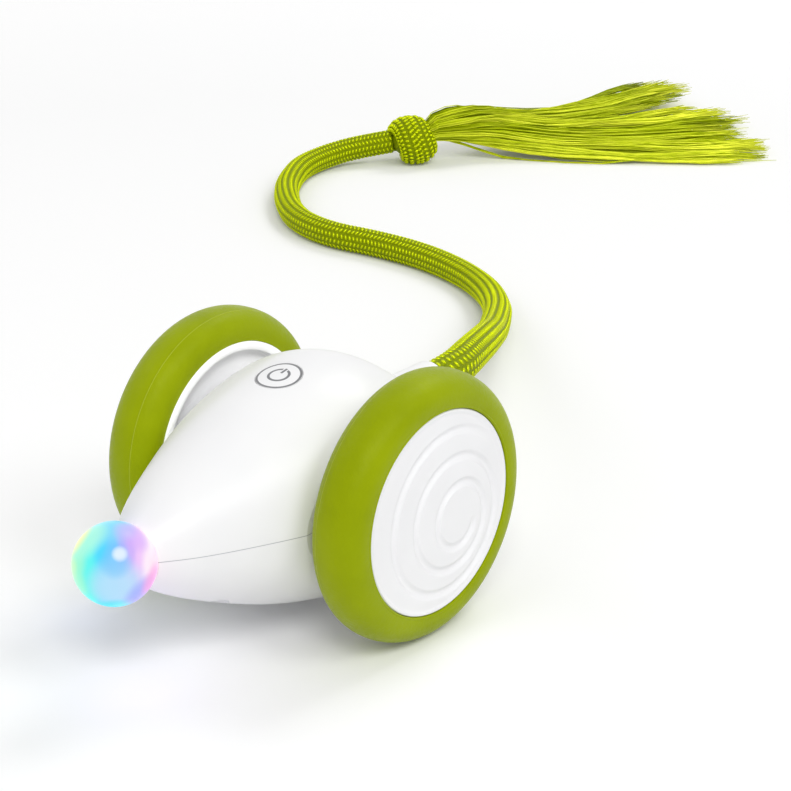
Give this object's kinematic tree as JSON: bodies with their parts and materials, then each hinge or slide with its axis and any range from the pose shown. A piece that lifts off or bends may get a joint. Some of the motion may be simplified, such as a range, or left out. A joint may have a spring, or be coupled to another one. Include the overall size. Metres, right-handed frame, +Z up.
{
  "type": "robotic mouse cat toy",
  "caption": "Teardrop robot mouse that rolls on large rubber-tyred wheels, with a glowing ball nose and a braided tail ending in a thread tassel.",
  "frame": {"origin": "on the floor, under the middle of the toy's box measured without its tail", "axes": "+X along the axle towards the mouse's left wheel, -Y the way the nose points, +Z up"},
  "size_m": [0.2487, 0.4618, 0.06],
  "materials": {
    "white_shell": "satin",
    "wheel_white": "satin",
    "tyre_silicone": "soft satin",
    "nose_diffuser": "translucent, lit from inside",
    "button_grey": "satin",
    "tail_braid": "glossy braid",
    "tail_thread": "glossy filament",
    "black_plastic": "matte",
    "circuit_board": "solder resist",
    "battery_wrap": "foil",
    "foam": "foam",
    "led_white": "clear",
    "lead_red": "insulated",
    "gear_case": "matte",
    "gear_white": "matte",
    "bush_plastic": "matte",
    "motor_can": "plated",
    "shaft_steel": "ground",
    "screw_steel": "plated",
    "socket_steel": "plated",
    "ferrule_brass": "turned"
  },
  "bodies": {
    "chassis": {"upper_shell": "white_shell", "lower_shell": "white_shell", "power_switch": "black_plastic", "main_board": "circuit_board", "board_chips": "black_plastic", "board_screws": "screw_steel", "battery_cell": "battery_wrap", "battery_pad": "foam", "usb_socket": "socket_steel", "charge_board": "circuit_board", "nose_ball": "nose_diffuser", "nose_led_board": "circuit_board", "nose_led": "led_white", "shell_screws": "screw_steel", "battery_leads": "lead_red", "nose_leads": "lead_red", "charge_leads": "lead_red", "tail_socket": "white_shell", "tail_ferrule": "ferrule_brass", "tail_cord": "tail_braid", "tail_knot": "tail_braid", "tail_tassel": "tail_thread", "left_gearbox_case": "gear_case", "left_gearbox_cover": "gear_case", "left_gearbox_screws": "screw_steel", "left_motor": "motor_can", "left_motor_leads": "lead_red", "left_idler_pin": "shaft_steel", "left_axle_bush": "bush_plastic", "right_gearbox_case": "gear_case", "right_gearbox_cover": "gear_case", "right_gearbox_screws": "screw_steel", "right_motor": "motor_can", "right_motor_leads": "lead_red", "right_idler_pin": "shaft_steel", "right_axle_bush": "bush_plastic"},
    "left_wheel": {"left_output_gear": "gear_white", "left_wheel_shaft": "shaft_steel", "left_wheel_screw": "screw_steel", "left_tyre": "tyre_silicone", "left_wheel_rim": "wheel_white", "left_hub_cap": "wheel_white"},
    "right_wheel": {"right_output_gear": "gear_white", "right_wheel_shaft": "shaft_steel", "right_wheel_screw": "screw_steel", "right_tyre": "tyre_silicone", "right_wheel_rim": "wheel_white", "right_hub_cap": "wheel_white"},
    "left_idler": {"left_idler_gear": "gear_white"},
    "right_idler": {"right_idler_gear": "gear_white"},
    "left_rotor": {"left_rotor_shaft": "shaft_steel", "left_motor_pinion": "gear_white"},
    "right_rotor": {"right_rotor_shaft": "shaft_steel", "right_motor_pinion": "gear_white"},
    "button": {"power_button": "button_grey", "switch_plunger": "black_plastic"}
  },
  "joints": [
    {"name": "left_wheel_spin", "type": "hinge", "parent": "chassis", "child": "left_wheel", "pos_m": [0.0296, 0.01405, 0.03], "axis": [1, 0, 0], "continuous": true},
    {"name": "left_idler_spin", "type": "hinge", "parent": "chassis", "child": "left_idler", "pos_m": [0.014, 0.00408, 0.03465], "axis": [1, 0, 0], "continuous": true},
    {"name": "left_rotor_spin", "type": "hinge", "parent": "chassis", "child": "left_rotor", "pos_m": [0.015, -0.00445, 0.0312], "axis": [1, 0, 0], "continuous": true},
    {"name": "right_wheel_spin", "type": "hinge", "parent": "chassis", "child": "right_wheel", "pos_m": [-0.0296, 0.01405, 0.03], "axis": [1, 0, 0], "continuous": true},
    {"name": "right_idler_spin", "type": "hinge", "parent": "chassis", "child": "right_idler", "pos_m": [-0.014, 0.00408, 0.03465], "axis": [1, 0, 0], "continuous": true},
    {"name": "right_rotor_spin", "type": "hinge", "parent": "chassis", "child": "right_rotor", "pos_m": [-0.015, -0.00445, 0.0312], "axis": [1, 0, 0], "continuous": true},
    {"name": "power_button_press", "type": "slide", "parent": "chassis", "child": "button", "axis": [0, 0.1949, -0.9808], "range_m": [0, 0.0006], "stiffness_N_per_m": 400}
  ],
  "couplings": [
    {"joint": "left_idler_spin", "follows": "left_wheel_spin", "ratio": -3.4},
    {"joint": "left_rotor_spin", "follows": "left_wheel_spin", "ratio": 12.24},
    {"joint": "right_idler_spin", "follows": "right_wheel_spin", "ratio": -3.4},
    {"joint": "right_rotor_spin", "follows": "right_wheel_spin", "ratio": 12.24}
  ]
}
